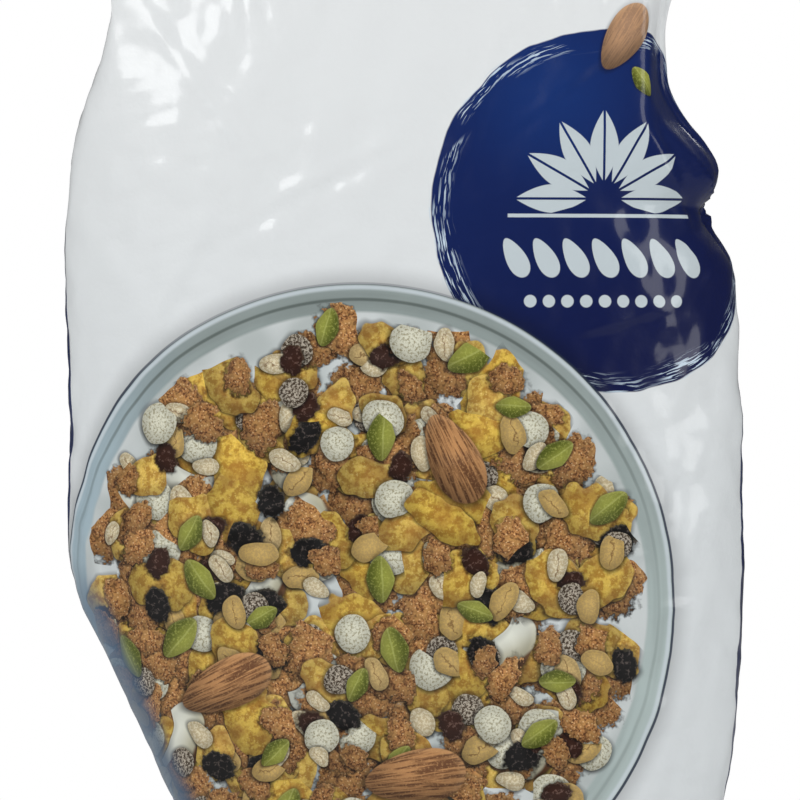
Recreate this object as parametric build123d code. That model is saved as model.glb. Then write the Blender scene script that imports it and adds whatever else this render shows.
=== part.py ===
"""Filled film pouch of muesli: a pillow-sided gusseted bag that stands on a flat base, sealed across the top.

The pouch is shut, so it is one closed solid. +Z is up and the printed front faces -Y. All sizes are in mm.
"""

import os
from math import cos, exp, log, pi, sin, sqrt

from build123d import *

# Overall sizes of the filled pouch
HEIGHT = 318.0
WIDTH = 198.0
FRONT_BULGE = 38.0  # front of the fullest section, measured from the plane of the seal
BACK_BULGE = 32.0
FULLEST_Z = 112.0  # the contents settle, so the pouch is fattest low down

# Top seal: a thin fin, cut with a zigzag knife
SEAL_HEIGHT = 16.0
SEAL_INSET = 4.0  # the seal ends this far inside the widest part of the bag, on each side
SEAL_WIDTH = WIDTH - 2 * SEAL_INSET
SEAL_THICK = 1.8
SEAL_STEP = 0.3  # the bag's upper end is this much smaller all round than the seal that it runs into
SEAL_ROOT = 3.0  # the seal reaches this far down into the bag
TOOTH_PITCH = 3.8
TOOTH_HEIGHT = 1.5

# Base: flat where the pouch stands, with soft edges
BASE_FRONT = 28.0
BASE_BACK = 25.0
BASE_LEFT = WIDTH / 2 - 51.5  # the lower left corner is pushed in
BASE_RIGHT = WIDTH / 2 - 16.0
LEFT_SLOPE = 0.494  # how fast the drawn-in side runs out again, mm across for each mm up
RIGHT_SLOPE = 0.32
SOFTEN = 6.0  # how gently the sloping lower side turns into the upright one
FOOT_RADIUS = 7.0

# Cross section: exponents of the rounded outline, at the fullest height and at both ends
FULL_EXPONENT = 2.5
END_EXPONENT = 5.0
FACE_EXPONENT = 2.15

# Dent in the right side, below the shoulder
DENT_Z = 210.0
DENT_DEPTH = 10.0
DENT_HEIGHT = 15.0
DENT_Y = -10.0
DENT_REACH = 26.0

# Bevel at the upper right: beyond a slanting ridge the bag is squeezed towards the middle
BEVEL_Z = 215.0
BEVEL_X = WIDTH / 2 - 19.5  # the ridge's distance from the middle at BEVEL_Z
BEVEL_LEAN = 0.43  # how far the ridge moves to the middle, mm for each mm up
BEVEL_SQUEEZE = 0.6  # share of the width beyond the ridge that is lost
BEVEL_FULL_Z = 246.0
BEVEL_FADE_Z = 252.0
BEVEL_SOFTEN = 4.0

# Side gussets: a V-shaped fold that opens downwards from the seal
GUSSET_DEPTH = 20.0
GUSSET_START_Z = 206.0
GUSSET_WIDEST_Z = 272.0
GUSSET_LIP = 3.0  # film and contents left between the fold and each face

SECTION_POINTS = 36
SHOULDER_Z = HEIGHT - SEAL_HEIGHT
STATIONS = [0.0, 0.03, 0.075, 0.14, 0.22, 0.3, 0.37, 0.45, 0.53, 0.6, 0.65, 0.695, 0.74, 0.79, 0.85, 0.91, 0.96, 1.0]


def ease(low, high, value):
    """0 below low, 1 above high, and smooth between."""
    t = min(1.0, max(0.0, (value - low) / (high - low)))
    return t * t * (3 - 2 * t)


def soft_min(a, b):
    """The smaller of two lengths, rounded where they meet."""
    return min(a, b) - SOFTEN * log(1 + exp(-abs(a - b) / SOFTEN))


def foot_inset(z):
    """How far the outline is drawn in by the rounded edge of the base."""
    short = 1 - min(z, FOOT_RADIUS) / FOOT_RADIUS
    return FOOT_RADIUS * (1 - sqrt(1 - short * short))


def side_reach(z, at_base, slope):
    """Distance from the middle to one side of the pouch at height z."""
    widest = WIDTH / 2 - (SEAL_INSET + SEAL_STEP) * ease(0.62 * SHOULDER_Z, SHOULDER_Z, z)
    return soft_min(at_base + slope * z, widest) - foot_inset(z)


def face_reach(z, bulge, at_base):
    """Distance from the plane of the seal to the front or back face at height z."""
    seal = SEAL_THICK / 2 - SEAL_STEP
    if z > FULLEST_Z:
        up = (z - FULLEST_Z) / (SHOULDER_Z - FULLEST_Z)
        return seal + (bulge - seal) * (1 - up**2.3) ** 0.86
    down = (FULLEST_Z - z) / FULLEST_Z
    return bulge - (bulge - at_base) * down**2.4 - foot_inset(z)


def dent_at(y, z):
    """How far the dent pushes the right side in, at this place on the side."""
    return DENT_DEPTH * exp(-(((z - DENT_Z) / DENT_HEIGHT) ** 2) - ((y - DENT_Y) / DENT_REACH) ** 2)


def bevel(x, z):
    """Where a point of the outline goes when the upper right corner is squeezed in."""
    ridge = BEVEL_X - BEVEL_LEAN * (z - BEVEL_Z)
    strength = ease(BEVEL_Z - 5, BEVEL_FULL_Z, z) * (1 - ease(BEVEL_FADE_Z, SHOULDER_Z, z))
    return x - BEVEL_SQUEEZE * strength * BEVEL_SOFTEN * log(1 + exp((x - ridge) / BEVEL_SOFTEN))


def section(z):
    """Closed outline of the pouch at height z."""
    from_fullest = abs(z - FULLEST_Z) / (FULLEST_Z if z < FULLEST_Z else SHOULDER_Z - FULLEST_Z)
    exponent = FULL_EXPONENT + (END_EXPONENT - FULL_EXPONENT) * from_fullest**3
    right = side_reach(z, BASE_RIGHT, RIGHT_SLOPE)
    left = side_reach(z, BASE_LEFT, LEFT_SLOPE)
    front = face_reach(z, FRONT_BULGE, BASE_FRONT)
    back = face_reach(z, BACK_BULGE, BASE_BACK)
    middle, half = (right - left) / 2, (right + left) / 2
    points = []
    for step in range(SECTION_POINTS):
        turn = pi / 2 + 2 * pi * step / SECTION_POINTS  # the outline starts at the middle of the back
        across, along = cos(turn), sin(turn)
        y = (back if along > 0 else -front) * abs(along) ** (2 / FACE_EXPONENT)
        x = middle + half * (1 if across > 0 else -1) * abs(across) ** (2 / exponent)
        if across > 0:
            x -= dent_at(y, z) * across**0.5
        points.append(Vector(bevel(x, z), y, z))
    return Wire([Edge.make_spline(points, periodic=True)])


def body():
    """The filled bag from the base to the foot of the seal."""
    return Solid.make_loft([section(share * SHOULDER_Z) for share in STATIONS])


def seal_fin():
    """Flat fin across the top, with a zigzag cut edge."""
    teeth = int(SEAL_WIDTH / TOOTH_PITCH)
    pitch = SEAL_WIDTH / teeth
    half, low = SEAL_WIDTH / 2, SHOULDER_Z - SEAL_ROOT
    outline = [(-half, low), (-half, HEIGHT - TOOTH_HEIGHT)]
    for tooth in range(teeth):
        outline.append((-half + (tooth + 0.5) * pitch, HEIGHT))
        outline.append((-half + (tooth + 1) * pitch, HEIGHT - TOOTH_HEIGHT))
    outline.append((half, low))
    face = Plane.XZ * make_face(Polyline(*outline, close=True))
    return extrude(face, SEAL_THICK / 2, both=True)


def gusset_fold(side):
    """The V-shaped hollow between the two side folds; side is 1 on the right and -1 on the left."""
    mouth = side * (WIDTH / 2 + 6)
    widest = min(
        face_reach(GUSSET_WIDEST_Z, FRONT_BULGE, BASE_FRONT),
        face_reach(GUSSET_WIDEST_Z, BACK_BULGE, BASE_BACK),
    )
    heights = (
        (GUSSET_START_Z, 0.4, -0.3),
        (GUSSET_WIDEST_Z, widest - GUSSET_LIP, 0.8),
        (SHOULDER_Z - 3, 0.5, 1.0),
    )
    wires = []
    for z, half_mouth, share in heights:
        root = bevel(side * SEAL_WIDTH / 2, z) - side * GUSSET_DEPTH * share
        reach = side * half_mouth  # keeps the outline turning the same way on both sides
        wires.append(Wire.make_polygon([(mouth, reach, z), (root, 0, z), (mouth, -reach, z)]))
    return Solid.make_loft(wires, ruled=True)


pouch = body() + seal_fin() - gusset_fold(1) - gusset_fold(-1)
box = pouch.bounding_box()
pouch = pouch.moved(Location((-box.center().X, -box.center().Y, -box.min.Z)))

os.makedirs("parts", exist_ok=True)
export_step(pouch, "parts/pouch.step")
print("pouch", pouch.bounding_box().size, "volume in litres", round(pouch.volume / 1e6, 3))
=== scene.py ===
import math
import random

import bmesh
import bpy
import numpy as np
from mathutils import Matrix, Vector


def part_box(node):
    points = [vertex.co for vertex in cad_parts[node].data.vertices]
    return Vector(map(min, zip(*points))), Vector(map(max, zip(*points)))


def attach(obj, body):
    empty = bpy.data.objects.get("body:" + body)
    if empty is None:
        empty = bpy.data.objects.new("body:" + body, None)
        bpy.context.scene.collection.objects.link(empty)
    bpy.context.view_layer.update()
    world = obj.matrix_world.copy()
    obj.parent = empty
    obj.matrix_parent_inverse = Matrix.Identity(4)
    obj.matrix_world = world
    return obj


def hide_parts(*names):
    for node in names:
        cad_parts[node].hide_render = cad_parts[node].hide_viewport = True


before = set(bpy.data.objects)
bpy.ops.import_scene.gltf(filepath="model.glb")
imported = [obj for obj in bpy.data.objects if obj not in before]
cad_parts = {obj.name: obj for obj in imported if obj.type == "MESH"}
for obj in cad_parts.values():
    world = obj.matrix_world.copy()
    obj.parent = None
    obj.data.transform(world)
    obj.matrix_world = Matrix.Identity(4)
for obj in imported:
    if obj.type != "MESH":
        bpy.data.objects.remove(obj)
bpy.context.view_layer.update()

# --- The filled bag ------------------------------------------------------------------------------
# One web of printed, laminated plastic film, rolled into a tube, welded down the middle of the back,
# pleated along both sides and crimped shut across the top. Muesli fills it, so it stands by itself
# on its flattened base. Its lower left corner is pushed in and its right side is dented.
bottom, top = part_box("pouch")
HEIGHT = top[2] - bottom[2]
SHOULDER = HEIGHT - 0.016    # the crimped seal starts here
FULLEST = 0.112              # height of the fattest part
SEAL_PLANE = 0.003           # the seal stands a little behind the middle, because the front is fuller


def ease(low_end, high_end, value):
    t = np.clip((value - low_end) / (high_end - low_end), 0, 1)
    return t * t * (3 - 2 * t)


def soft_min(a, b, soften=0.006):
    return np.minimum(a, b) - soften * np.log1p(np.exp(-np.abs(a - b) / soften))


def bump(value, middle, reach):
    return np.exp(-((value - middle) / reach) ** 2)


def foot_inset(z, radius=0.007):
    short = 1 - np.minimum(z, radius) / radius
    return radius * (1 - np.sqrt(np.maximum(0, 1 - short * short)))


BAG_WIDTH, SEAL_WIDTH = 0.198, 0.190
WAIST_HEIGHT, WAIST_REACH = 0.262, 0.024     # the bag is a little narrower below the shoulder


def side_reach(z, at_base, slope, waist):
    """How far a side lies from the middle: it slopes out from the base, and then runs nearly upright."""
    widest = BAG_WIDTH / 2 + (SEAL_WIDTH - BAG_WIDTH) / 2 * ease(0.62 * SHOULDER, SHOULDER, z)
    return soft_min(at_base + slope * z, widest) - foot_inset(z) - waist * bump(z, WAIST_HEIGHT, WAIST_REACH)


FILM_HALF = 0.00035      # half the thickness of the pressed layers at the seal


def face_reach(z, bulge, at_base):
    """How far the front or the back lies from the plane of the seal."""
    up = np.clip((z - FULLEST) / (SHOULDER - FULLEST), 0, 1)
    down = np.clip((FULLEST - z) / FULLEST, 0, 1)
    above = FILM_HALF + (bulge - FILM_HALF) * (1 - up ** 2.3) ** 0.86
    below = bulge - (bulge - at_base) * down ** 2.4 - foot_inset(z)
    return np.where(z > FULLEST, above, below)


FRONT_BULGE, BACK_BULGE = 0.0375, 0.0315
FRONT_AT_BASE, BACK_AT_BASE = 0.028, 0.025
LEFT_AT_BASE, RIGHT_AT_BASE = 0.0475, 0.083      # the lower left corner is pushed in
LEFT_SLOPE, RIGHT_SLOPE = 0.494, 0.32
LEFT_WAIST, RIGHT_WAIST = 0.003, 0.001
PLEAT_DEPTH, PLEAT_ANGLE = 0.019, math.radians(33)
SIDE_LINE_DEPTH = 0.0016
DENT_DEPTH, DENT_HEIGHT, DENT_Y = 0.0100, 0.2095, -0.010


def bag_outline(turn, z):
    """Where the film lies: turn runs round the bag from the middle of the back, z up it."""
    away = np.where(z > FULLEST, (z - FULLEST) / (SHOULDER - FULLEST), (FULLEST - z) / FULLEST)
    squareness = 2.5 + 2.5 * np.clip(away, 0, 1) ** 3
    right = side_reach(z, RIGHT_AT_BASE, RIGHT_SLOPE, RIGHT_WAIST) - 0.002 * ease(0.13, 0.18, z)
    left = side_reach(z, LEFT_AT_BASE, LEFT_SLOPE, LEFT_WAIST)
    front = face_reach(z, FRONT_BULGE, FRONT_AT_BASE)
    back = face_reach(z, BACK_BULGE, BACK_AT_BASE)
    middle, half = (right - left) / 2, (right + left) / 2
    across, along = np.cos(turn), np.sin(turn)
    y = np.where(along > 0, back, -front) * np.abs(along) ** (2 / 2.15)
    x = middle + half * np.sign(across) * np.abs(across) ** (2 / squareness)
    # side pleats, folded inwards from the shoulder up
    from_side = np.arcsin(np.clip(np.abs(along), 0, 1))
    fold = np.clip(1 - from_side / PLEAT_ANGLE, 0, 1)
    x -= np.sign(across) * PLEAT_DEPTH * ease(0.222, 0.296, z) * fold
    # a pressed line runs down the middle of each side
    x -= np.sign(across) * SIDE_LINE_DEPTH * bump(from_side, 0, 0.07) * (1 - ease(0.222, 0.24, z))
    # the dent in the right side
    dent = DENT_DEPTH * np.exp(-((z - DENT_HEIGHT) / 0.0105) ** 2 - ((y - DENT_Y) / 0.026) ** 2)
    x -= dent * np.sqrt(np.clip(across, 0, 1))
    return x, y + SEAL_PLANE


# Heights of the rows: close together where the film turns at the foot and in the crimped seal
BODY_ROWS, SEAL_ROWS = 192, 44
ROWS = BODY_ROWS + SEAL_ROWS
TOOTH, TOOTH_PITCH = 0.0015, 0.0038
up_body = np.linspace(0, 1, BODY_ROWS)
heights = np.concatenate([
    SHOULDER * (up_body - 0.012 * np.sin(2 * math.pi * up_body)) ** 1.04,
    np.linspace(SHOULDER, HEIGHT - TOOTH, SEAL_ROWS + 1)[1:],
])
# Columns spread evenly by the length of film round the fullest part
COLUMNS = 320
fine = np.linspace(0, 2 * math.pi, 4001) + math.pi / 2
fine_x, fine_y = bag_outline(fine, np.full_like(fine, FULLEST))
lengths = np.concatenate([[0], np.cumsum(np.hypot(np.diff(fine_x), np.diff(fine_y)))])
turns = np.interp(np.linspace(0, lengths[-1], COLUMNS + 1), lengths, fine)

Z, T = np.meshgrid(heights, turns, indexing="ij")
X, Y = bag_outline(T, Z)


def film_lengths(x, y, front_column):
    """Distance along the film, round the bag, from the upright line down the middle of the front."""
    run = np.concatenate([np.zeros((len(x), 1)), np.cumsum(np.hypot(np.diff(x), np.diff(y)), axis=1)], 1)
    out = np.empty_like(run)
    near = slice(front_column - 60, front_column + 60)
    for row in range(len(x)):
        out[row] = run[row] - np.interp(0, x[row][near], run[row][near])
    return out


S = film_lengths(X, Y, COLUMNS // 2)

# Outward direction of the smooth bag, along which the creases push the film
round_way = np.stack([np.gradient(X, axis=1), np.gradient(Y, axis=1), np.zeros_like(X)], -1)
up_way = np.stack([np.gradient(X, axis=0), np.gradient(Y, axis=0), np.gradient(Z, axis=0)], -1)
out_way = np.cross(round_way, up_way)
out_way /= np.maximum(np.linalg.norm(out_way, axis=-1, keepdims=True), 1e-12)
dice = random.Random(12)


def fold_line(s, z, at, slant, length, width, depth, lean=0.0):
    """A crease through `at`, turned by `slant` from upright: a groove, or a step where lean is 1."""
    ds, dz = s - at[0], z - at[1]
    run = ds * math.sin(slant) + dz * math.cos(slant)
    off = (ds * math.cos(slant) - dz * math.sin(slant)) / width
    taper = np.clip(1 - (run / length) ** 2, 0, 1) ** 1.5
    return depth * taper * np.exp(-off * off) * ((1 - lean) + lean * 1.6 * off)


def lumps(s, z, size, seed):
    """Soft hills of about the given size, from a few crossed waves."""
    pick = random.Random(seed)
    total = np.zeros_like(s)
    for _ in range(14):
        way = pick.uniform(0, math.pi)
        pace = 2 * math.pi / (size * pick.uniform(0.75, 1.5))
        total += np.sin(pace * (s * math.cos(way) + z * math.sin(way)) + pick.uniform(0, 6.28))
    return total / 14 ** 0.5


# The contents press soft lumps of three sizes into the film, mostly where the bag is full
push = 0.0008 * lumps(S, Z, 0.055, 3) + 0.00034 * lumps(S, Z, 0.017, 4) + 0.00012 * lumps(S, Z, 0.007, 5)
push *= 0.55 + 0.45 * bump(Z, 0.12, 0.11)
for _ in range(64):  # short upright folds gathered under the seal
    at = (dice.uniform(-0.225, 0.225), SHOULDER + dice.uniform(-0.012, 0.004))
    push -= fold_line(S, Z, at, dice.gauss(0, 0.22), dice.uniform(0.016, 0.055), dice.uniform(0.0014, 0.0042),
                      dice.uniform(0.0003, 0.0013), dice.choice((0, 1)))
for _ in range(34):  # folds that run up from the base
    at = (dice.uniform(-0.2, 0.2), dice.uniform(0.0, 0.012))
    push -= fold_line(S, Z, at, dice.gauss(0, 0.45), dice.uniform(0.012, 0.042), dice.uniform(0.0016, 0.004),
                      dice.uniform(0.0004, 0.0014), dice.choice((0, 1)))
for _ in range(11):  # creases that run out of the dent
    slant = math.radians(-90 + dice.uniform(-62, 62))
    reach = dice.uniform(0.014, 0.036)
    at = (0.104 + 0.6 * reach * math.sin(slant), 0.210 + 0.6 * reach * math.cos(slant))
    push -= fold_line(S, Z, at, slant, reach, dice.uniform(0.0012, 0.0030), dice.uniform(0.0004, 0.0011), 1)
for n in range(9):  # folds along the pushed-in corner
    at = (-0.094 + dice.uniform(-0.01, 0.016), 0.020 + 0.011 * n)
    push -= fold_line(S, Z, at, math.radians(dice.uniform(-42, -8)), dice.uniform(0.014, 0.03),
                      dice.uniform(0.0016, 0.0036), dice.uniform(0.0005, 0.0015), dice.choice((0, 1)))
for at, slant, length, width, depth, lean in (  # long soft creases across the front
    ((0.052, 0.249), 52, 0.034, 0.0016, 0.0005, 1), ((0.079, 0.222), -28, 0.024, 0.0030, 0.0014, 1),
    ((0.058, 0.176), 74, 0.030, 0.0020, 0.0005, 1), ((0.020, 0.236), 20, 0.040, 0.0030, 0.0005, 1),
    ((-0.060, 0.250), -35, 0.045, 0.0030, 0.0007, 1), ((-0.030, 0.215), 62, 0.050, 0.0026, 0.0005, 1),
    ((0.030, 0.070), 12, 0.022, 0.0020, 0.0007, 1), ((0.022, 0.050), 18, 0.020, 0.0016, 0.0007, 0),
    ((0.046, 0.150), -50, 0.024, 0.0018, 0.0005, 1), ((-0.070, 0.180), 30, 0.040, 0.0030, 0.0005, 1),
    ((-0.150, 0.160), 20, 0.070, 0.0030, 0.0008, 1), ((0.160, 0.190), -30, 0.070, 0.0030, 0.0008, 1),
    ((0.190, 0.090), 50, 0.050, 0.0030, 0.0007, 1), ((-0.190, 0.240), 70, 0.050, 0.0030, 0.0007, 1),
):
    push -= fold_line(S, Z, at, math.radians(slant), length, width, depth, lean)
# the weld down the middle of the back: both edges of the film meet there, under a flat strip
column = np.arange(COLUMNS + 1)
at_weld = 1 - ease(0, 9, np.minimum(column, COLUMNS - column))
push += at_weld * ((push[:, :1] + push[:, -1:]) / 2 - push)
off_weld = X - X[:, :1]
push += 0.0008 * ease(-0.0025, -0.0005, off_weld) * (1 - ease(0.0095, 0.0115, off_weld)) * (Y > 0.006)
# the foot and the seal stay as they are
push *= ease(0.0, 0.006, Z) * (1 - ease(SHOULDER - 0.004, SHOULDER + 0.001, Z))
X += push * out_way[..., 0]
Y += push * out_way[..., 1]

# Beyond a slanting ridge at the upper right the film turns away in a bevel, and the bag is squeezed in
RIDGE_SOFTNESS = 0.0012
bevel = ease(0.214, 0.250, Z) * (1 - ease(0.258, SHOULDER, Z))
ridge = np.maximum(0.0795 - 0.43 * (Z - 0.215), 0.0705)
beyond = RIDGE_SOFTNESS * np.log1p(np.exp((X - ridge) / RIDGE_SOFTNESS))
Y += np.where(Y < SEAL_PLANE, np.minimum(0.85 * bevel * beyond, 0.7 * np.abs(SEAL_PLANE - Y)), 0)
X -= 0.70 * bevel * beyond

# Crimp lines of the seal, and its slight wave
CRIMP_DEPTH, CRIMP_PITCH, SEAL_WAVE = 0.00022, 0.0018, 0.0030
in_seal = ease(SHOULDER, SHOULDER + 0.002, Z)
Y += in_seal * CRIMP_DEPTH * np.sin(2 * math.pi * (Z - SHOULDER) / CRIMP_PITCH)
Y += SEAL_WAVE * np.sin(X / 0.030 + 0.6) * ease(SHOULDER - 0.03, HEIGHT, Z)
# Zigzag cut along the top edge
Z[-1] += TOOTH * (1 - np.abs(((X[-1] / TOOTH_PITCH) % 1.0) * 2 - 1))
# there the back film lies on the front film, point on point, so that the cut edge is closed
on_front = np.flatnonzero((turns >= math.pi) & (turns <= 2 * math.pi))
for column in np.flatnonzero((turns < math.pi) | (turns > 2 * math.pi)):
    mirrored = (2 if turns[column] < math.pi else 4) * math.pi - turns[column]
    twin = on_front[np.argmin(np.abs(turns[on_front] - mirrored))]
    for axis in (X, Y, Z):
        axis[-1, column] = axis[-1, twin]

bm = bmesh.new()
bmesh.ops.create_grid(bm, x_segments=COLUMNS, y_segments=ROWS - 1, size=0.5)
bm.verts.ensure_lookup_table()
film_map = bm.loops.layers.uv.new("film")
bake_map = bm.loops.layers.uv.new("OFBake")
place = {}
for vert in bm.verts:
    column = round((vert.co.x + 0.5) * COLUMNS)
    row = round((vert.co.y + 0.5) * (ROWS - 1))
    place[vert] = (row, column)
# "film" lies in metres along the film; on "OFBake", kept for baking, the front gets the most room
FRONT_HALF, BACK_SHARE, BAKED_HEIGHT = 0.116, 0.135, 0.322
for face in bm.faces:
    columns = [place[loop.vert][1] for loop in face.loops]
    rows = [place[loop.vert][0] for loop in face.loops]
    centre = S[rows[0], columns[0]]
    for loop in face.loops:
        row, column = place[loop.vert]
        s, z = S[row, column], Z[row, column]
        loop[film_map].uv = (s, z)
        if abs(s) <= FRONT_HALF and abs(centre) <= FRONT_HALF:
            across = 0.33 + 0.66 * (s / FRONT_HALF + 1) / 2
        else:
            back = 0.155 * (abs(s) - FRONT_HALF) / BACK_SHARE
            across = 0.002 + back if centre < 0 else 0.325 - back
        loop[bake_map].uv = (z / BAKED_HEIGHT, across)
for vert in bm.verts:
    row, column = place[vert]
    vert.co = (X[row, column], Y[row, column], Z[row, column])
bmesh.ops.remove_doubles(bm, verts=bm.verts, dist=0.000001)
# close the base, and the few points of the cut edge that have no twin; the new faces carry the print on
rims = [edge for edge in bm.edges if edge.is_boundary]
closing = set(bmesh.ops.holes_fill(bm, edges=rims, sides=0)["faces"])
for face in closing:
    for loop in face.loops:
        beside = next(other for other in loop.vert.link_loops if other.face not in closing)
        for uv_map in (film_map, bake_map):
            loop[uv_map].uv = beside[uv_map].uv
bmesh.ops.recalc_face_normals(bm, faces=bm.faces)
for face in bm.faces:
    face.smooth = face not in closing
bag_mesh = bpy.data.meshes.new("pouch_film")
bm.to_mesh(bag_mesh)
bm.free()
bag = bpy.data.objects.new("pouch_film", bag_mesh)
bpy.context.scene.collection.objects.link(bag)
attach(bag, "root")
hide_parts("pouch")
print("bag faces", len(bag_mesh.polygons))

# --- The print -------------------------------------------------------------------------------------
# Gravure inks under a gloss lamination: pale ground, navy sides, a navy roundel with a brushed edge,
# and a bowl of muesli with milk. The front is laid out in millimetres along the film, on the map "film";
# the back in millimetres across and up.


class Inks:
    """Lays shader nodes in one tree; every method gives back the socket it makes."""

    def __init__(self, tree):
        self.tree = tree

    def node(self, kind, **values):
        made = self.tree.nodes.new("ShaderNode" + kind)
        for name, value in values.items():
            setattr(made, name, value)
        return made

    def feed(self, socket, value):
        if isinstance(value, bpy.types.NodeSocket):
            self.tree.links.new(value, socket)
        elif value is not None:
            size = getattr(socket, "default_value", None)
            if hasattr(size, "__len__") and not hasattr(value, "__len__"):
                value = (value,) * len(size)
            if hasattr(size, "__len__") and len(size) == 4 and len(value) == 3:
                value = (*value, 1.0)
            socket.default_value = value

    def math(self, operation, a, b=None, c=None):
        made = self.node("Math", operation=operation)
        for socket, value in zip(made.inputs, (a, b, c)):
            self.feed(socket, value)
        return made.outputs[0]

    def add(self, a, b):
        return self.math("ADD", a, b)

    def less(self, a, b):
        return self.math("SUBTRACT", a, b)

    def both(self, *shares):
        """The product of several masks or numbers."""
        total = shares[0]
        for share in shares[1:]:
            total = self.math("MULTIPLY", total, share)
        return total

    def off(self, value, middle):
        """How far a number is from a middle, either way."""
        return self.math("ABSOLUTE", self.less(value, middle))

    def vector(self, operation, a, b=None, scale=None):
        made = self.node("VectorMath", operation=operation)
        self.feed(made.inputs[0], a)
        self.feed(made.inputs[1], b)
        if scale is not None:
            self.feed(made.inputs["Scale"], scale)
        return made.outputs["Value" if operation in ("LENGTH", "DOT_PRODUCT", "DISTANCE") else "Vector"]

    def step(self, value, from_low, from_high, to_low=0.0, to_high=1.0, smooth=True):
        made = self.node("MapRange", interpolation_type="SMOOTHSTEP" if smooth else "LINEAR")
        for socket, number in zip(made.inputs[:5], (value, from_low, from_high, to_low, to_high)):
            self.feed(socket, number)
        return made.outputs[0]

    def mix(self, share, under, over):
        made = self.node("Mix", data_type="RGBA")
        self.feed(made.inputs[0], share)
        self.feed(made.inputs[6], under)
        self.feed(made.inputs[7], over)
        return made.outputs[2]

    def times(self, colour, share):
        """A colour darkened or brightened by a number."""
        return self.vector("SCALE", colour, scale=share)

    def noise(self, vector, pace, detail=2.0, rough=0.5, colour=False):
        made = self.node("TexNoise", noise_dimensions="2D")
        self.feed(made.inputs["Vector"], vector)
        self.feed(made.inputs["Scale"], pace)
        self.feed(made.inputs["Detail"], detail)
        self.feed(made.inputs["Roughness"], rough)
        return made.outputs["Color" if colour else 0]

    def cells(self, vector, pace, loose=1.0):
        made = self.node("TexVoronoi", voronoi_dimensions="2D")
        self.feed(made.inputs["Vector"], vector)
        self.feed(made.inputs["Scale"], pace)
        self.feed(made.inputs["Randomness"], loose)
        return made

    def split(self, vector):
        made = self.node("SeparateXYZ")
        self.feed(made.inputs[0], vector)
        return made.outputs[0], made.outputs[1], made.outputs[2]

    def join(self, x, y, z=0.0):
        made = self.node("CombineXYZ")
        for socket, value in zip(made.inputs, (x, y, z)):
            self.feed(socket, value)
        return made.outputs[0]

    def turn(self, vector, angle):
        made = self.node("VectorRotate", rotation_type="Z_AXIS")
        self.feed(made.inputs["Vector"], vector)
        self.feed(made.inputs["Angle"], angle)
        return made.outputs[0]

    def group(self, tree, **values):
        made = self.tree.nodes.new("ShaderNodeGroup")
        made.node_tree = tree
        for name, value in values.items():
            self.feed(made.inputs[name], value)
        return made


def new_group(name, inputs, outputs):
    """An empty node group with the named sockets, its inks, its inputs and a call that feeds an output."""
    tree = bpy.data.node_groups.new(name, "ShaderNodeTree")
    for title, kind in inputs:
        tree.interface.new_socket(title, in_out="INPUT", socket_type="NodeSocket" + kind)
    for title, kind in outputs:
        tree.interface.new_socket(title, in_out="OUTPUT", socket_type="NodeSocket" + kind)
    entry, leave = tree.nodes.new("NodeGroupInput"), tree.nodes.new("NodeGroupOutput")
    inks = Inks(tree)
    return tree, inks, entry.outputs, lambda title, value: inks.feed(leave.inputs[title], value)


def paint(red, green, blue):
    """A screen colour, 0 to 255, as the linear colour that the shader takes."""
    shares = (red / 255, green / 255, blue / 255)
    return tuple(v / 12.92 if v <= 0.0404 else ((v + 0.055) / 1.055) ** 2.4 for v in shares)


BOWL_AT, BOWL_RADIUS = (-13.6, 96.9), 92.0
ROUNDEL_AT, ROUNDEL_RADIUS = (60.0, 210.3), 52.5
MOTIF_X = 57.5                      # the pale motifs stand round this upright line
PALE_INK = paint(196, 207, 212)


def leaf_fan(ink, from_root, leaf, wide):
    """Mask of seven plain pointed leaves round a root; leaf is the half length of one."""
    x, y, _ = ink.split(from_root)
    turn_of, gap = ink.math("ARCTAN2", x, y), math.radians(30)
    which = ink.math("ROUND", ink.math("DIVIDE", turn_of, gap))
    aside, far = ink.less(turn_of, ink.both(which, gap)), ink.vector("LENGTH", from_root)
    across = ink.math("ABSOLUTE", ink.both(ink.math("SINE", aside), far))
    along = ink.off(ink.both(ink.math("COSINE", aside), far), 1.45 * leaf)
    edge = ink.both(wide, ink.less(1.0, ink.math("POWER", ink.math("DIVIDE", along, leaf), 1.7)))
    return ink.both(ink.step(ink.less(across, edge), 0.12, -0.12), ink.step(across, 0.30, 0.42),
                    ink.math("LESS_THAN", along, leaf),
                    ink.math("LESS_THAN", ink.math("ABSOLUTE", which), 3.5))


def repeated(ink, value, pitch):
    """The middle of the nearest repeat of a pitch."""
    return ink.both(ink.math("ROUND", ink.math("DIVIDE", value, pitch)), pitch)


# A printed blue tint that comes forward from the navy side at the lower left, partly a painted sheen: it
# turns paler towards the bag's edge
side_tint_and_sheen, ink, given, give = new_group(
    "side_tint_and_sheen", [("Place", "Vector"), ("Under", "Color"), ("Share", "Float")], [("Color", "Color")])
s, z, _ = ink.split(given["Place"])
inward = ink.less(ink.both(s, -1.0), ink.add(70.0, ink.both(ink.less(z, 60.0), 0.47)))
soft = ink.both(ink.step(inward, -1.0, 8.0), ink.step(z, 112, 92), given["Share"], 0.86)
soft = ink.both(soft, ink.step(s, -118, -114))
# painted sheen: the tint turns paler towards the edge, where the film turns away
tint_and_sheen = ink.mix(ink.step(inward, 4, 16), paint(66, 92, 120), paint(110, 134, 156))
give("Color", ink.mix(soft, given["Under"], tint_and_sheen))

# Ground, back and roundel
pack_print, ink, given, give = new_group(
    "pack_print", [("Place", "Vector"), ("Solid", "Vector")], [("Color", "Color")])
place = given["Place"]
s, z, _ = ink.split(place)
round_side = ink.math("ABSOLUTE", s)
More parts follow.
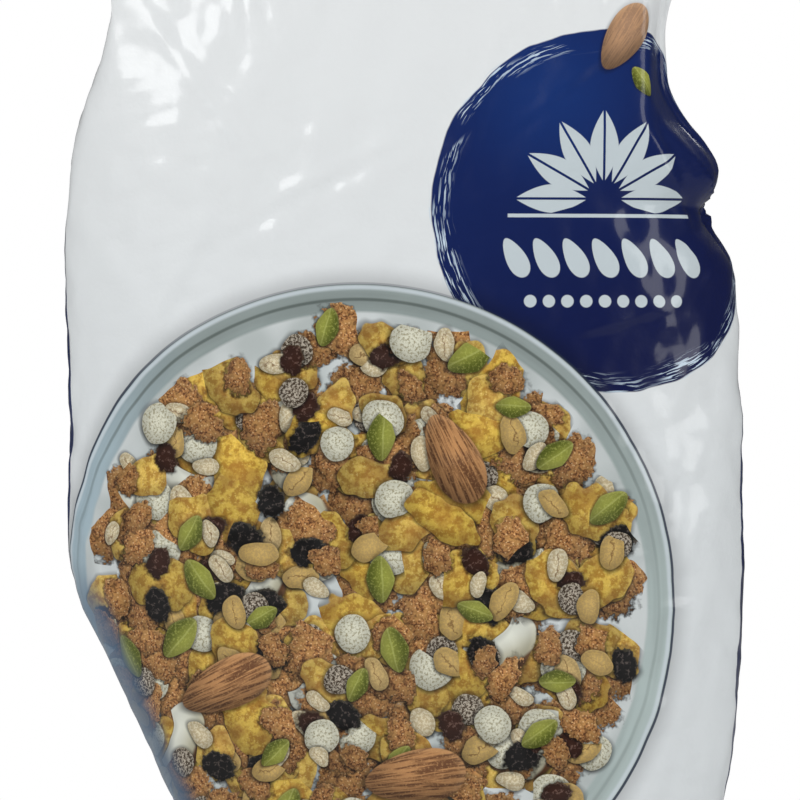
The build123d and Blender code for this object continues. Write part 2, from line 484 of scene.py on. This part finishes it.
# pale film, navy sides that come forward at the lower left, a navy foot with a thin pale line
front_edge = ink.less(106.5, ink.both(ink.step(z, 128, 40), ink.step(s, 20, -20, 2, 9)))
foot = ink.less(ink.add(17.0, ink.both(ink.math("COSINE", ink.math("DIVIDE", s, 38.0)), 5.0)), z)
side = ink.math("MINIMUM", ink.less(round_side, front_edge), ink.less(126.0, round_side))
inked = ink.math("MAXIMUM", ink.step(side, -0.15, 0.15), ink.step(foot, -0.15, 0.15))
cloudy = ink.noise(place, 0.012, 2)
colour = ink.mix(ink.step(z, 90, 300), paint(223, 228, 230), paint(231, 234, 235))
colour = ink.mix(ink.step(ink.math("ABSOLUTE", ink.add(foot, 2.6)), 0.75, 0.45), colour, paint(92, 132, 178))
colour = ink.group(side_tint_and_sheen, Place=place, Under=colour, Share=1.0).outputs[0]
colour = ink.mix(inked, colour, ink.mix(ink.step(cloudy, 0.35, 0.65), paint(0, 22, 74), paint(4, 36, 94)))
# back: a tinted panel in a thin frame, and a small roundel with a fan of leaves
back_x, back_y, back_z = ink.split(given["Solid"])
on_back = ink.math("GREATER_THAN", back_y, 6.0)
beside, above = ink.less(ink.off(back_x, -44.0), 22.0), ink.less(ink.off(back_z, 165.0), 56.0)
panel = ink.vector("LENGTH", ink.join(ink.math("MAXIMUM", beside, 0.0), ink.math("MAXIMUM", above, 0.0)))
colour = ink.mix(ink.both(on_back, ink.step(panel, 6.2, 5.8)), colour, paint(190, 208, 226))
colour = ink.mix(ink.both(on_back, ink.step(ink.off(panel, 7.6), 0.55, 0.30)), colour, paint(40, 72, 128))
disc = ink.vector("SUBTRACT", ink.join(back_x, back_z), (48.0, 196.0, 0))
disc_far = ink.vector("LENGTH", disc)
colour = ink.mix(ink.both(on_back, ink.step(disc_far, 26.2, 25.8)), colour, paint(4, 40, 106))
small_fan = leaf_fan(ink, ink.vector("ADD", disc, (0, 8.0, 0)), 6.0, 2.3)
colour = ink.mix(ink.both(on_back, small_fan), colour, PALE_INK)
colour = ink.mix(ink.both(on_back, ink.step(ink.off(disc_far, 28.4), 0.5, 0.3)), colour, paint(40, 72, 128))
# roundel on the front: navy with painted shade, darker below and to the right, and with a painted highlight
# towards the upper left; its edge dragged out with a dry brush
around = ink.vector("SUBTRACT", place, (*ROUNDEL_AT, 0))
# the turn is counted from a line that runs down under the bowl, where its seam doesn't show
turned_x, turned_y, _ = ink.split(ink.turn(around, math.radians(32.7)))
spin = ink.math("ARCTAN2", turned_x, turned_y)
uneven = ink.step(ink.noise(around, 0.06, 2), 0, 1, -1.2, 1.2, smooth=False)
far = ink.add(ink.vector("LENGTH", around), uneven)
# painted shade and light: the navy runs lighter towards the upper left, as if lit from there, and a painted
# highlight spot lies up and left of the middle
light_tilt = ink.vector("DOT_PRODUCT", around, (-0.55, 0.83, 0))
navy_with_shade = ink.mix(ink.step(light_tilt, -46, 48), paint(0, 15, 72), paint(0, 31, 94))
navy_with_shade = ink.mix(ink.step(ink.vector("DISTANCE", around, (-18, 34, 0)), 36, 0, 0, 0.6), navy_with_shade, paint(6, 54, 126))
colour = ink.mix(ink.step(far, ROUNDEL_RADIUS + 0.25, ROUNDEL_RADIUS - 0.25), colour, navy_with_shade)
bristle = ink.noise(ink.join(ink.both(spin, 5.0), ink.both(far, 1.5)), 1.0, 2, 0.7)
broken = ink.noise(ink.join(ink.both(spin, 2.2), ink.both(far, 0.12)), 1.0, 1)
ring = ink.both(ink.step(far, 46.0, 49.5), ink.step(far, ROUNDEL_RADIUS + 1.2, ROUNDEL_RADIUS - 0.6))
dry = ink.both(ring, ink.step(bristle, 0.53, 0.60), ink.step(broken, 0.42, 0.55))
colour = ink.mix(dry, colour, paint(196, 214, 230))
# on it: a thin rule, a fan of leaves above, a row of grains and one of dots below
row_x = ink.less(s, MOTIF_X)
rule = ink.both(ink.step(ink.off(z, 208.6), 0.62, 0.42),
                ink.step(ink.math("ABSOLUTE", row_x), 28.2, 27.8))
leaves = leaf_fan(ink, ink.vector("SUBTRACT", place, (MOTIF_X, 213.5, 0)), 10.6, 4.1)
grain_at = repeated(ink, row_x, 8.6)
grain = ink.turn(ink.join(ink.less(row_x, grain_at), ink.less(z, 196.5)), -0.5)
grain_x, grain_y, _ = ink.split(ink.vector("DIVIDE", grain, (2.9, 6.2, 1.0)))
pointed = ink.math("DIVIDE", grain_x, ink.less(1.0, ink.both(grain_y, 0.28)))
grain = ink.vector("LENGTH", ink.join(pointed, grain_y))
grains = ink.both(ink.step(grain, 1.03, 0.97), ink.math("LESS_THAN", ink.math("ABSOLUTE", grain_at), 26.5))
dot_at = repeated(ink, row_x, 5.4)
dot = ink.vector("LENGTH", ink.join(ink.less(row_x, dot_at), ink.less(z, 184.0)))
dots = ink.both(ink.step(dot, 1.95, 1.65), ink.math("LESS_THAN", ink.math("ABSOLUTE", dot_at), 25.5))
pale = ink.math("MAXIMUM", ink.math("MAXIMUM", rule, leaves), ink.math("MAXIMUM", grains, dots))
give("Color", ink.mix(pale, colour, PALE_INK))

# Marks: the fine patterns that every piece of food shares, worked out once for each point
marks, ink, given, give = new_group(
    "marks", [("Place", "Vector")], [("Wander", "Vector"), ("Marks", "Vector"), ("Crumb", "Float")])
wander = ink.vector("SUBTRACT", ink.noise(given["Place"], 0.11, 1, colour=True), (0.5, 0.5, 0.5))
give("Wander", ink.vector("MULTIPLY", wander, (1, 1, 0)))
give("Marks", ink.join(ink.noise(given["Place"], 0.13, 1), ink.noise(given["Place"], 0.42, 2, 0.6),
                       ink.noise(given["Place"], 1.35, 2, 0.7)))
give("Crumb", ink.cells(given["Place"], 0.62).outputs["Distance"])

# Strewn: one layer of like pieces, each in its own cell, turned and sized by chance. Bowl keeps only
# those whose middle lies within that distance of the bowl's middle. Lean is 1 on the side to the light.
strewn, ink, given, give = new_group(
    "strewn",
    [("Place", "Vector"), ("Wander", "Vector"), ("Spacing", "Float"), ("Shift", "Vector"), ("Half", "Vector"),
     ("Ragged", "Float"), ("Share", "Float"), ("Bowl", "Float")],
    [("Local", "Vector"), ("Reach", "Float"), ("Chance", "Color"), ("Kept", "Float"), ("Lean", "Float")])
shift_x, shift_y, _ = ink.split(given["Shift"])
sway = ink.vector("SCALE", ink.turn(given["Wander"], shift_x), scale=given["Ragged"])
wandered = ink.vector("ADD", ink.vector("ADD", given["Place"], given["Shift"]), sway)
cell = ink.cells(wandered, ink.math("DIVIDE", 1.0, given["Spacing"]), loose=0.85)
chance = cell.outputs["Color"]
red, green, blue = ink.split(chance)
offset = ink.vector("MULTIPLY", ink.vector("SUBTRACT", wandered, cell.outputs["Position"]), (1, 1, 0))
size = ink.step(green, 0, 1, 0.78, 1.2, smooth=False)
half = ink.vector("ADD", ink.vector("SCALE", given["Half"], scale=size), (0, 0, 1))
local = ink.vector("DIVIDE", ink.turn(offset, ink.both(red, 12.566)), half)
give("Local", local)
give("Reach", ink.vector("LENGTH", local))
give("Chance", chance)
give("Lean", ink.math("DIVIDE", ink.vector("DOT_PRODUCT", offset, (0.9, 1.7, 0)), given["Spacing"]))
middle = ink.vector("SUBTRACT", cell.outputs["Position"], given["Shift"])
from_bowl = ink.vector("DISTANCE", ink.vector("MULTIPLY", middle, (1, 1, 0)), (*BOWL_AT, 0))
give("Kept", ink.both(ink.math("LESS_THAN", blue, given["Share"]),
                      ink.math("LESS_THAN", from_bowl, given["Bowl"])))

# Laid: puts a piece's colour over what is under it, with its lit rim and its soft shadow
laid, ink, given, give = new_group(
    "laid",
    [("Under", "Color"), ("Piece", "Color"), ("Reach", "Float"), ("Kept", "Float"), ("Lean", "Float"),
     ("Rim", "Float"), ("Shadow", "Float"), ("Edge", "Float")],
    [("Color", "Color")])
reach, kept, lean = given["Reach"], given["Kept"], given["Lean"]
halo = ink.both(ink.step(reach, ink.add(1.0, given["Edge"]), 0.96), kept, given["Shadow"],
                ink.step(lean, 0.7, -0.5, 0.5, 1.0, smooth=False))
under = ink.times(given["Under"], ink.less(1.0, halo))
rim = ink.both(ink.step(reach, 0.80, 0.93), given["Rim"], ink.step(lean, -0.3, 0.5))
lit = ink.vector("ADD", ink.times(given["Piece"], 1.15), (0.10, 0.085, 0.05))
piece = ink.mix(rim, given["Piece"], lit)
piece = ink.times(piece, ink.both(ink.step(reach, 0.2, 1.0, 1.12, 0.76), ink.add(1.0, ink.both(lean, 0.28))))
give("Color", ink.mix(ink.both(ink.step(reach, 1.0, 0.96), kept), under, piece))


def kind_group(name):
    """The look of one kind of piece: a group from its own coordinates and the marks to its colour."""
    tree, ink, given, give = new_group(
        name,
        [("Marks", "Vector"), ("Crumb", "Float"), ("Local", "Vector"), ("Reach", "Float"),
         ("Chance", "Color")],
        [("Color", "Color"), ("Reach", "Float")])
    parts = [ink.split(given[title]) for title in ("Marks", "Local", "Chance")]
    return tree, ink, given, give, *parts


kinds = {}

# corn flakes: toasted golden sheets, blistered, browner in the dips
kinds["corn"], ink, given, give, (broad, mid, fine), local, chance = kind_group("corn_flake")
colour = ink.mix(ink.step(mid, 0.36, 0.62), paint(166, 126, 50), paint(206, 174, 84))
colour = ink.mix(ink.step(fine, 0.56, 0.72, 0, 0.4), colour, paint(152, 104, 42))
colour = ink.mix(ink.step(fine, 0.42, 0.30, 0, 0.4), colour, paint(230, 208, 134))
colour = ink.mix(ink.both(ink.step(broad, 0.50, 0.60), 0.45), colour, paint(160, 110, 50))
yellower = ink.vector("MULTIPLY", colour, (1.10, 1.06, 0.55))
colour = ink.mix(ink.step(chance[1], 0.4, 1.0, 0, 0.6), colour, yellower)
give("Color", ink.times(colour, ink.step(chance[0], 0, 1, 0.82, 1.16, smooth=False)))
give("Reach", ink.add(given["Reach"], ink.step(broad, 0.25, 0.75, -0.14, 0.14, smooth=False)))

# bran flakes: granular brown flakes with pale crumbs
kinds["bran"], ink, given, give, (broad, mid, fine), local, chance = kind_group("bran_flake")
colour = ink.mix(ink.step(fine, 0.36, 0.60), paint(92, 54, 27), paint(172, 122, 72))
colour = ink.mix(ink.step(mid, 0.42, 0.64, 0, 0.7), colour, paint(178, 134, 78))
colour = ink.mix(ink.step(given["Crumb"], 0.20, 0.04, 0, 0.75), colour, paint(216, 180, 130))
colour = ink.mix(ink.step(given["Crumb"], 0.62, 0.80, 0, 0.6), colour, paint(74, 42, 22))
give("Color", ink.times(colour, ink.step(chance[1], 0, 1, 0.82, 1.2, smooth=False)))
give("Reach", ink.add(given["Reach"], ink.step(mid, 0.25, 0.75, -0.17, 0.17, smooth=False)))

# rolled oats: cream or golden ovals, most with a fine brown groove
kinds["oat"], ink, given, give, (broad, mid, fine), local, chance = kind_group("rolled_oat")
colour = ink.mix(ink.step(chance[1], 0.55, 0.65), paint(216, 206, 176), paint(196, 164, 96))
colour = ink.mix(ink.step(fine, 0.60, 0.44, 0, 0.55), colour, paint(164, 138, 92))
groove = ink.both(ink.step(ink.math("ABSOLUTE", ink.add(local[1], ink.less(mid, 0.5))), 0.11, 0.01),
                  ink.step(given["Reach"], 0.84, 0.6), ink.step(chance[0], 0.25, 0.35, 0, 0.75))
give("Color", ink.mix(groove, colour, paint(112, 80, 44)))
give("Reach", given["Reach"])

# discs: pale greenish cream with fine pits, or pale grey thickly flecked with dark seed coat
kinds["disc"], ink, given, give, (broad, mid, fine), local, chance = kind_group("disc")
pale = ink.mix(ink.step(fine, 0.34, 0.54), paint(160, 154, 126), paint(212, 211, 192))
grey = ink.mix(ink.step(fine, 0.44, 0.58), paint(70, 56, 42), paint(180, 170, 154))
give("Color", ink.mix(ink.math("LESS_THAN", chance[1], 0.42), pale, grey))
give("Reach", given["Reach"])

# coconut slices: white crescents with a thin brown skin on one side
kinds["slice"], ink, given, give, (broad, mid, fine), local, chance = kind_group("coconut_slice")
colour = ink.mix(ink.step(local[1], -0.75, 0.3), paint(178, 174, 150), paint(218, 220, 208))
give("Color", ink.mix(ink.step(local[1], -0.66, -0.80), colour, paint(98, 62, 34)))
bite = ink.vector("ADD", ink.vector("MULTIPLY", given["Local"], (0.85, 0.9, 0)), (0, -1.05, 0))
bite = ink.vector("LENGTH", bite)
give("Reach", ink.math("MAXIMUM", given["Reach"], ink.step(bite, 0.62, 0.92, 1.2, 0.4, smooth=False)))

# raisins: wrinkled, nearly black or dark red-brown, with small glints on the ridges
kinds["raisin"], ink, given, give, (broad, mid, fine), local, chance = kind_group("raisin")
dark = ink.mix(ink.math("LESS_THAN", chance[1], 0.5), paint(21, 19, 19), paint(54, 27, 16))
glow = ink.both(ink.step(given["Crumb"], 0.42, 0.60), ink.step(fine, 0.46, 0.62), 0.7)
give("Color", ink.mix(glow, dark, ink.vector("ADD", ink.times(dark, 2.0), (0.09, 0.07, 0.06))))
give("Reach", ink.add(given["Reach"], ink.step(mid, 0.25, 0.75, -0.16, 0.16, smooth=False)))

# pumpkin seeds: flat olive green ovals, pointed at one end, with a paler edge
kinds["seed"], ink, given, give, (broad, mid, fine), local, chance = kind_group("pumpkin_seed")
narrow = ink.math("DIVIDE", local[1], ink.less(1.0, ink.both(ink.math("ABSOLUTE", local[0]), 0.30)))
colour = ink.mix(ink.step(local[1], -0.6, 0.7), paint(90, 98, 26), paint(150, 154, 66))
colour = ink.mix(ink.step(fine, 0.5, 0.68, 0, 0.45), colour, paint(176, 180, 90))
give("Color", ink.mix(ink.step(ink.off(local[1], 0.14), 0.09, 0.02, 0, 0.35), colour, paint(186, 190, 112)))
give("Reach", ink.vector("LENGTH", ink.join(local[0], narrow)))

# almonds: teardrops in brown skin, with fine grooves running lengthwise
kinds["almond"], ink, given, give, (broad, mid, fine), local, chance = kind_group("almond")
narrow = ink.math("DIVIDE", local[1], ink.step(local[0], -1.0, 1.0, 0.70, 1.10, smooth=False))
lines = ink.noise(ink.join(ink.both(local[0], 0.9), ink.both(narrow, 7.0)), 1.25, 2, 0.65)
colour = ink.mix(ink.step(lines, 0.36, 0.62), paint(106, 68, 40), paint(182, 132, 84))
colour = ink.mix(ink.step(fine, 0.5, 0.75, 0, 0.5), colour, paint(198, 150, 98))
colour = ink.mix(ink.step(chance[1], 0.5, 1.0), colour, paint(178, 144, 116))
give("Color", ink.times(colour, ink.step(local[1], -1.0, 0.75, 0.72, 1.12)))
give("Reach", ink.vector("LENGTH", ink.join(local[0], narrow)))


def place_over(place, under):
    """The place on the film, made to hang on the layer below by a millionth part of its colour, so that
    the shader works the layers out one after another and never holds too many numbers at once."""
    return ink.vector("ADD", place, ink.vector("SCALE", under, scale=1e-6))


def lay_one(kind, at, slant, half, under, marked, shadow=0.75, edge=0.18, rim=0.35, tone=0.5):
    """One piece set down at a given place: slant in degrees, half its length and width in mm."""
    offset = ink.vector("SUBTRACT", place_over(place, under), (*at, 0))
    local = ink.vector("DIVIDE", ink.turn(offset, -math.radians(slant)), (*half, 1.0))
    look = ink.group(kinds[kind], Marks=marked.outputs["Marks"], Crumb=marked.outputs["Crumb"], Local=local,
                     Reach=ink.vector("LENGTH", local), Chance=(0.4, tone, 0.5, 1))
    lean = ink.math("DIVIDE", ink.vector("DOT_PRODUCT", offset, (0.45, 0.85, 0)), half[1])
    return ink.group(laid, Under=under, Piece=look.outputs["Color"], Reach=look.outputs["Reach"], Kept=1.0,
                     Lean=lean, Rim=rim, Shadow=shadow, Edge=edge).outputs[0]


def start_film(name, printed=True):
    """A new film material, its inks, the place on the film in mm, the pack's print and the marks."""
    film = bpy.data.materials.new(name)
    film.use_nodes = True
    film.node_tree.nodes.clear()
    ink = Inks(film.node_tree)
    place = ink.vector("SCALE", ink.node("UVMap", uv_map="film").outputs[0], scale=1000.0)
    colour = None
    if printed:
        solid = ink.vector("SCALE", ink.node("TexCoord").outputs["Object"], scale=1000.0)
        colour = ink.group(pack_print, Place=place, Solid=solid).outputs[0]
    return film, ink, place, colour, ink.group(marks, Place=place)


def finish_film(film, ink, place, colour):
    """Gloss lamination over the ink, with a fine crinkle in it."""
    sheen = ink.node("BsdfPrincipled")
    ink.feed(sheen.inputs["Base Color"], colour)
    sheen.inputs["Roughness"].default_value = 0.42
    sheen.inputs["Specular IOR Level"].default_value = 0.2
    sheen.inputs["Coat Weight"].default_value = 0.7
    sheen.inputs["Coat Roughness"].default_value = 0.12
    relief = ink.node("Bump")
    relief.inputs["Strength"].default_value = 0.35
    relief.inputs["Distance"].default_value = 0.0006
    ink.feed(relief.inputs["Height"], ink.noise(place, 0.16, 3, 0.55))
    ink.feed(sheen.inputs["Normal"], relief.outputs[0])
    ink.feed(ink.node("OutputMaterial").inputs[0], sheen.outputs[0])
    bag_mesh.materials.append(film)


# --- The film away from the bowl, with an almond and a seed that lie on the roundel's edge
film, ink, place, colour, marked = start_film("printed_film")
colour = lay_one("almond", (63.5, 260.5), 58, (11.2, 6.2), colour, marked, shadow=0.5, tone=0.78)
colour = lay_one("seed", (69.0, 247.5), -52, (5.2, 3.0), colour, marked, shadow=0.5)
finish_film(film, ink, place, colour)

# --- The bowl: a pale glazed rim with a dark line each side, milk inside, and a soft shadow round it
bowl_print, ink, given, give = new_group(
    "bowl_print", [("Place", "Vector"), ("Under", "Color")], [("Color", "Color")])
bowl = ink.vector("SUBTRACT", given["Place"], (*BOWL_AT, 0))
bowl_x, bowl_y, _ = ink.split(bowl)
out = ink.vector("LENGTH", bowl)
colour = ink.times(given["Under"], ink.step(out, BOWL_RADIUS + 7, BOWL_RADIUS - 1, 1.0, 0.66))
glaze = ink.mix(ink.step(bowl_y, -20, 92), paint(172, 186, 184), paint(140, 151, 149))
glaze = ink.mix(ink.step(bowl_x, -40, -90), glaze, paint(160, 180, 190))
streak = ink.noise(ink.join(ink.both(out, 0.35), ink.both(ink.math("ARCTAN2", bowl_y, bowl_x), 2.0)), 1.0, 1)
glaze = ink.times(glaze, ink.step(streak, 0.3, 0.7, 0.94, 1.07))
lip = ink.both(ink.step(out, 90.0, 91.0), ink.step(out, BOWL_RADIUS, 91.3), 0.8)
glaze = ink.mix(lip, glaze, paint(206, 216, 222))
inner = ink.both(ink.step(ink.off(out, 87.6), 0.75, 0.15), ink.step(bowl_y, 10, 80, 0.22, 0.8))
glaze = ink.mix(inner, glaze, paint(84, 94, 90))
cloudy = ink.step(ink.noise(given["Place"], 0.05, 1), 0.35, 0.65)
milk = ink.mix(cloudy, paint(188, 196, 195), paint(214, 220, 220))
inside = ink.mix(ink.step(out, 84.6, 83.4), glaze, ink.times(milk, ink.step(out, 60, 84, 1.0, 0.93)))
colour = ink.mix(ink.step(out, BOWL_RADIUS + 0.10, BOWL_RADIUS - 0.10), colour, inside)
outline = ink.both(ink.step(ink.off(out, BOWL_RADIUS + 0.15), 0.5, 0.25),
                   ink.step(bowl_y, 86, 60, 0.35, 0.92))
give("Color", ink.mix(outline, colour, paint(34, 45, 66)))

film, ink, place, colour, marked = start_film("printed_rim")
colour = ink.group(bowl_print, Place=place, Under=colour).outputs[0]
from_bowl = ink.vector("DISTANCE", place, (*BOWL_AT, 0))
on_bowl = ink.step(from_bowl, BOWL_RADIUS + 0.3, BOWL_RADIUS)
finish_film(film, ink, place, ink.group(side_tint_and_sheen, Place=place, Under=colour, Share=on_bowl).outputs[0])

# --- The muesli, from the lowest layer to the highest:
# kind, spacing, half length and width, raggedness, share of cells used, shift, reach in the bowl
film, ink, place, colour, marked = start_film("printed_muesli", printed=False)
colour = ink.group(bowl_print, Place=place, Under=PALE_INK).outputs[0]
for kind, spacing, half, ragged, share_used, shift, within in (
    ("bran", 16.0, (9.8, 8.6), 4.5, 0.92, (11, 3), 79),
    ("corn", 17.0, (9.8, 8.0), 2.8, 0.72, (87, 41), 78),
    ("slice", 26.0, (12.0, 8.0), 2.0, 0.60, (61, 5), 74),
    ("bran", 16.5, (8.4, 6.8), 4.5, 0.62, (23, 97), 79),
    ("corn", 19.0, (10.2, 6.8), 2.8, 0.64, (5, 67), 77),
    ("disc", 17.0, (5.6, 5.4), 1.6, 0.46, (33, 71), 80),
    ("bran", 18.0, (8.6, 6.0), 4.5, 0.46, (47, 19), 78),
    ("oat", 13.0, (4.9, 3.2), 3.0, 0.38, (9, 59), 83),
    ("corn", 20.0, (9.8, 6.8), 2.8, 0.54, (71, 29), 76),
    ("raisin", 15.5, (5.0, 3.7), 2.0, 0.42, (3, 83), 82),
    ("bran", 13.0, (5.8, 4.0), 3.0, 0.30, (57, 77), 80),
    ("disc", 21.0, (5.2, 4.9), 1.6, 0.42, (95, 13), 78),
    ("oat", 16.0, (4.8, 3.0), 2.6, 0.40, (77, 91), 82),
    ("seed", 20.0, (6.2, 3.8), 0.8, 0.44, (29, 9), 82),
):
    layer = ink.group(strewn, Place=place_over(place, colour), Wander=marked.outputs["Wander"],
                      Spacing=spacing, Shift=(*shift, 0), Half=(*half, 0), Ragged=ragged, Share=share_used,
                      Bowl=within)
    look = ink.group(kinds[kind], Marks=marked.outputs["Marks"], Crumb=marked.outputs["Crumb"],
                     Local=layer.outputs["Local"], Reach=layer.outputs["Reach"],
                     Chance=layer.outputs["Chance"])
    colour = ink.group(laid, Under=colour, Piece=look.outputs["Color"], Reach=look.outputs["Reach"],
                       Kept=layer.outputs["Kept"], Lean=layer.outputs["Lean"], Rim=0.5,
                       Shadow=0.86, Edge=min(0.4, 1.3 / max(half) + 0.05)).outputs[0]
for kind, at, slant, half, tone in (
    ("almond", (14.0, 139.0), -64, (14.0, 8.2), 0.5),
    ("almond", (-52.0, 74.0), 24, (14.6, 8.0), 0.5),
    ("almond", (3.0, 48.0), 8, (14.8, 8.6), 0.5),
    ("corn", (10.5, 122.0), -32, (12.0, 5.4), 1.0),
):
    colour = lay_one(kind, at, slant, half, colour, marked, tone=tone)
finish_film(film, ink, place, ink.group(side_tint_and_sheen, Place=place, Under=colour, Share=1.0).outputs[0])

# the rim's and the muesli's films are used only where they show, as they are the slower ones
corner_uv = np.empty(2 * len(bag_mesh.loops))
bag_mesh.uv_layers["film"].data.foreach_get("uv", corner_uv)
first_corner = np.empty(len(bag_mesh.polygons), dtype=int)
bag_mesh.polygons.foreach_get("loop_start", first_corner)
near = corner_uv.reshape(-1, 2)[first_corner] * 1000.0 - np.array(BOWL_AT)
near = np.hypot(near[:, 0], near[:, 1])
film_used = (near < BOWL_RADIUS + 10).astype(np.int32) + (near < BOWL_RADIUS - 3)
bag_mesh.polygons.foreach_set("material_index", film_used)

# --- Stage, lamps and camera -----------------------------------------------------------------------
bm = bmesh.new()
bmesh.ops.create_grid(bm, x_segments=1, y_segments=1, size=6.0)
floor_mesh = bpy.data.meshes.new("floor")
bm.to_mesh(floor_mesh)
bm.free()
floor = bpy.data.objects.new("floor", floor_mesh)
bpy.context.scene.collection.objects.link(floor)
# near the bag the paper shows its light and shadow, and farther off the camera sees plain white
paper = bpy.data.materials.new("studio_paper")
paper.use_nodes = True
paper.node_tree.nodes.clear()
ink = Inks(paper.node_tree)
matt = ink.node("BsdfPrincipled")
matt.inputs["Roughness"].default_value = 0.9
glow = ink.node("Emission")
light = ink.node("LightPath")
seen = light.outputs["Is Camera Ray"]
ink.feed(matt.inputs["Base Color"],
         ink.mix(light.outputs["Is Glossy Ray"], (0.86, 0.86, 0.86), (0.3, 0.3, 0.3)))
away = ink.step(ink.vector("LENGTH", ink.node("TexCoord").outputs["Object"]), 0.16, 0.75)
ink.feed(glow.inputs["Strength"], ink.both(seen, ink.step(away, 0, 1, 0.22, 1.0, smooth=False)))
fade = ink.node("MixShader")
ink.feed(fade.inputs[0], ink.both(seen, away))
ink.feed(fade.inputs[1], matt.outputs[0])
sum_up = ink.node("AddShader")
ink.feed(sum_up.inputs[0], fade.outputs[0])
ink.feed(sum_up.inputs[1], glow.outputs[0])
ink.feed(ink.node("OutputMaterial").inputs[0], sum_up.outputs[0])
floor_mesh.materials.append(paper)

world = bpy.data.worlds.new("studio")
bpy.context.scene.world = world
world.use_nodes = True
world_ink = Inks(world.node_tree)
world.node_tree.nodes.clear()
seen = world_ink.node("LightPath")
in_gloss = world_ink.step(seen.outputs["Is Glossy Ray"], 0, 1, 0.55, 0.07, smooth=False)
through = world_ink.math("MAXIMUM", seen.outputs["Is Camera Ray"], seen.outputs["Is Transmission Ray"])
plain = world_ink.node("Background")
plain.inputs[0].default_value = (1, 1, 1, 1)
world_ink.feed(plain.inputs[1], world_ink.math("MAXIMUM", in_gloss, through))
world_ink.feed(world_ink.node("OutputWorld").inputs[0], plain.outputs[0])


MID_BAG = Vector((0, 0, 0.15))


def softbox(name, at, width, height, watts):
    """A rectangular lamp that faces the middle of the bag."""
    lamp = bpy.data.lights.new(name, "AREA")
    lamp.shape = "RECTANGLE"
    lamp.size, lamp.size_y, lamp.energy = width, height, watts
    stand = bpy.data.objects.new(name, lamp)
    stand.location = at
    stand.rotation_euler = (MID_BAG - Vector(at)).to_track_quat("-Z", "Y").to_euler()
    bpy.context.scene.collection.objects.link(stand)


softbox("key", (-0.9, -1.1, 1.3), 0.8, 0.8, 11)
softbox("fill", (1.3, -0.9, 0.7), 0.6, 1.0, 5)
softbox("back", (0.3, 1.3, 1.1), 0.9, 0.7, 7)

# level and straight on, from far off; the frame is so many metres wide at the front of the bag
STAND_OFF, FRONT_OF_BAG, FRAME_WIDTH = 2.2, 0.033, 0.2286
camera = bpy.data.objects.new("camera", bpy.data.cameras.new("camera"))
camera.data.sensor_width = 36.0
camera.data.lens = camera.data.sensor_width * (STAND_OFF - FRONT_OF_BAG) / FRAME_WIDTH
camera.location = (-0.0014, -STAND_OFF, 0.1557)
camera.rotation_euler = (math.pi / 2, 0, 0)
bpy.context.scene.collection.objects.link(camera)
bpy.context.scene.camera = camera
bpy.context.scene.view_settings.view_transform = "Standard"
